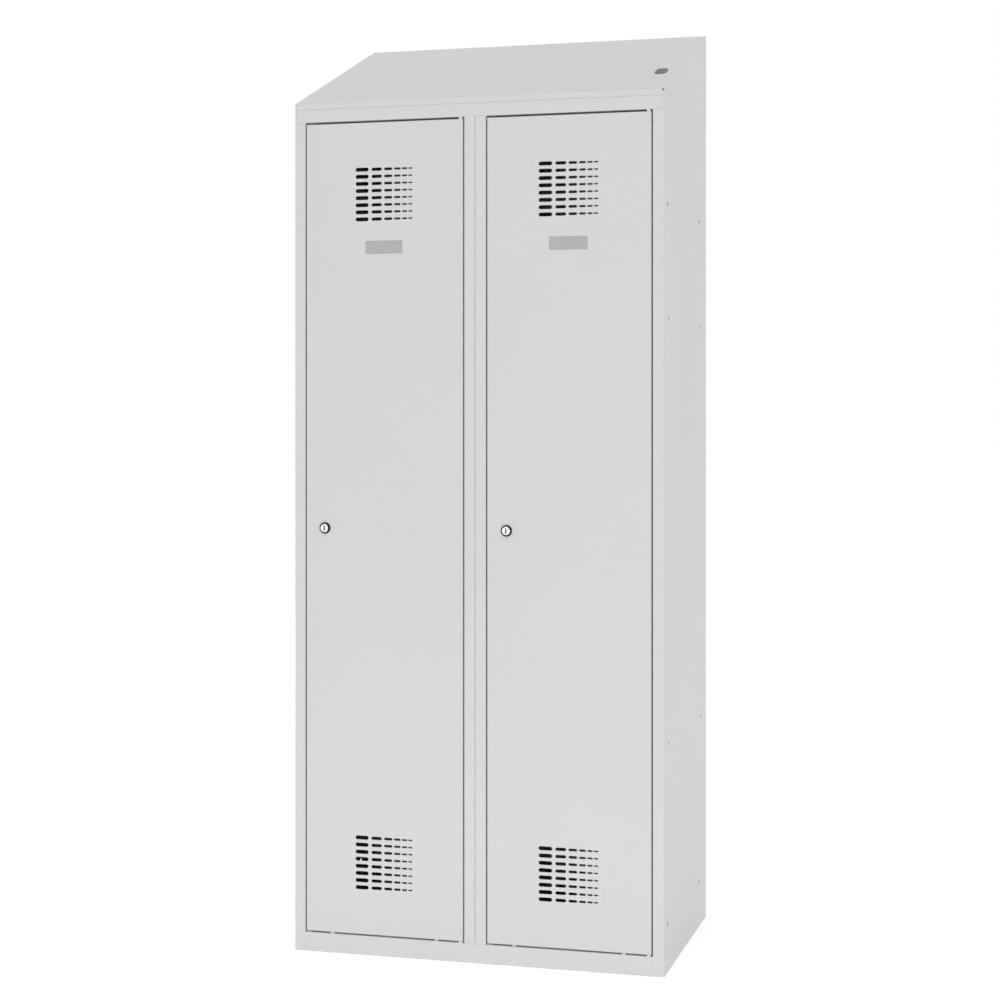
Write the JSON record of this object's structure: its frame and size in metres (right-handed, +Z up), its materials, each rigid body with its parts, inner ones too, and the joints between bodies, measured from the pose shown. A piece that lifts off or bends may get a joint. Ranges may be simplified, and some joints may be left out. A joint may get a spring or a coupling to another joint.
{
  "type": "metal clothes locker",
  "caption": "Free-standing sheet steel clothes locker with side by side compartments, hinged vented doors with cam locks, and a sloping top.",
  "frame": {"origin": "on the floor, at the middle of the body's width and depth", "axes": "+Z up, doors face -Y, +X to the right as seen from the front"},
  "size_m": [0.8, 0.495, 2],
  "materials": {
    "body_paint": "fine-textured light grey powder coat",
    "door_paint": "fine-textured light grey powder coat",
    "zinc_steel": "bright zinc plate",
    "lock_chrome": "polished",
    "lock_black": "semi-gloss black",
    "plug_plastic": "moulded dark grey",
    "label_plastic": "matt light grey",
    "white_plastic": "moulded white",
    "hook_plastic": "moulded black",
    "buffer_rubber": "soft dark grey"
  },
  "bodies": {
    "carcass": {"side_panel_left": "body_paint", "side_panel_right": "body_paint", "partition_left": "body_paint", "partition_right": "body_paint", "back_panel": "body_paint", "bottom_panel": "body_paint", "top_rail": "body_paint", "top_panel": "body_paint", "sloping_top": "body_paint", "sloping_top_back": "body_paint", "sloping_top_angles": "body_paint", "sloping_top_screws": "zinc_steel", "roof_plug": "plug_plastic", "hat_shelf_left": "body_paint", "hat_shelf_right": "body_paint", "coat_rail_left": "zinc_steel", "coat_rail_right": "zinc_steel", "rail_sockets_left": "zinc_steel", "rail_sockets_right": "zinc_steel", "hinge_bushes_left": "white_plastic", "hinge_bushes_right": "white_plastic", "door_buffers": "buffer_rubber", "door_pads": "white_plastic"},
    "door_left": {"door_panel_left": "door_paint", "door_stiffener_left": "door_paint", "hinge_plates_left": "zinc_steel", "hinge_pins_left": "zinc_steel", "label_plate_left": "label_plastic", "lock_barrel_left": "lock_black", "lock_nut_left": "zinc_steel"},
    "door_right": {"door_panel_right": "door_paint", "door_stiffener_right": "door_paint", "hinge_plates_right": "zinc_steel", "hinge_pins_right": "zinc_steel", "label_plate_right": "label_plastic", "lock_barrel_right": "lock_black", "lock_nut_right": "zinc_steel"},
    "lock_left": {"lock_plug_left": "lock_chrome", "lock_cam_left": "zinc_steel", "cam_screw_left": "zinc_steel"},
    "lock_right": {"lock_plug_right": "lock_chrome", "lock_cam_right": "zinc_steel", "cam_screw_right": "zinc_steel"},
    "hook_left_a": {"coat_hook_left_a": "hook_plastic"},
    "hook_left_b": {"coat_hook_left_b": "hook_plastic"},
    "hook_right_a": {"coat_hook_right_a": "hook_plastic"},
    "hook_right_b": {"coat_hook_right_b": "hook_plastic"}
  },
  "joints": [
    {"name": "door_left_hinge", "type": "hinge", "parent": "carcass", "child": "door_left", "pos_m": [-0.0325, -0.24, 0.8995], "axis": [0, 0, 1], "range_deg": [0, 110]},
    {"name": "door_right_hinge", "type": "hinge", "parent": "carcass", "child": "door_right", "pos_m": [0.3675, -0.24, 0.8995], "axis": [0, 0, 1], "range_deg": [0, 110]},
    {"name": "lock_left_turn", "type": "hinge", "parent": "door_left", "child": "lock_left", "pos_m": [-0.332, -0.235, 0.8995], "axis": [0, 1, 0], "range_deg": [0, 90]},
    {"name": "lock_right_turn", "type": "hinge", "parent": "door_right", "child": "lock_right", "pos_m": [0.068, -0.235, 0.8995], "axis": [0, 1, 0], "range_deg": [0, 90]},
    {"name": "hook_left_a_slide", "type": "slide", "parent": "carcass", "child": "hook_left_a", "axis": [1, 0, 0], "range_m": [-0.11, 0.05]},
    {"name": "hook_left_b_slide", "type": "slide", "parent": "carcass", "child": "hook_left_b", "axis": [1, 0, 0], "range_m": [-0.05, 0.11]},
    {"name": "hook_right_a_slide", "type": "slide", "parent": "carcass", "child": "hook_right_a", "axis": [1, 0, 0], "range_m": [-0.11, 0.05]},
    {"name": "hook_right_b_slide", "type": "slide", "parent": "carcass", "child": "hook_right_b", "axis": [1, 0, 0], "range_m": [-0.05, 0.11]}
  ]
}
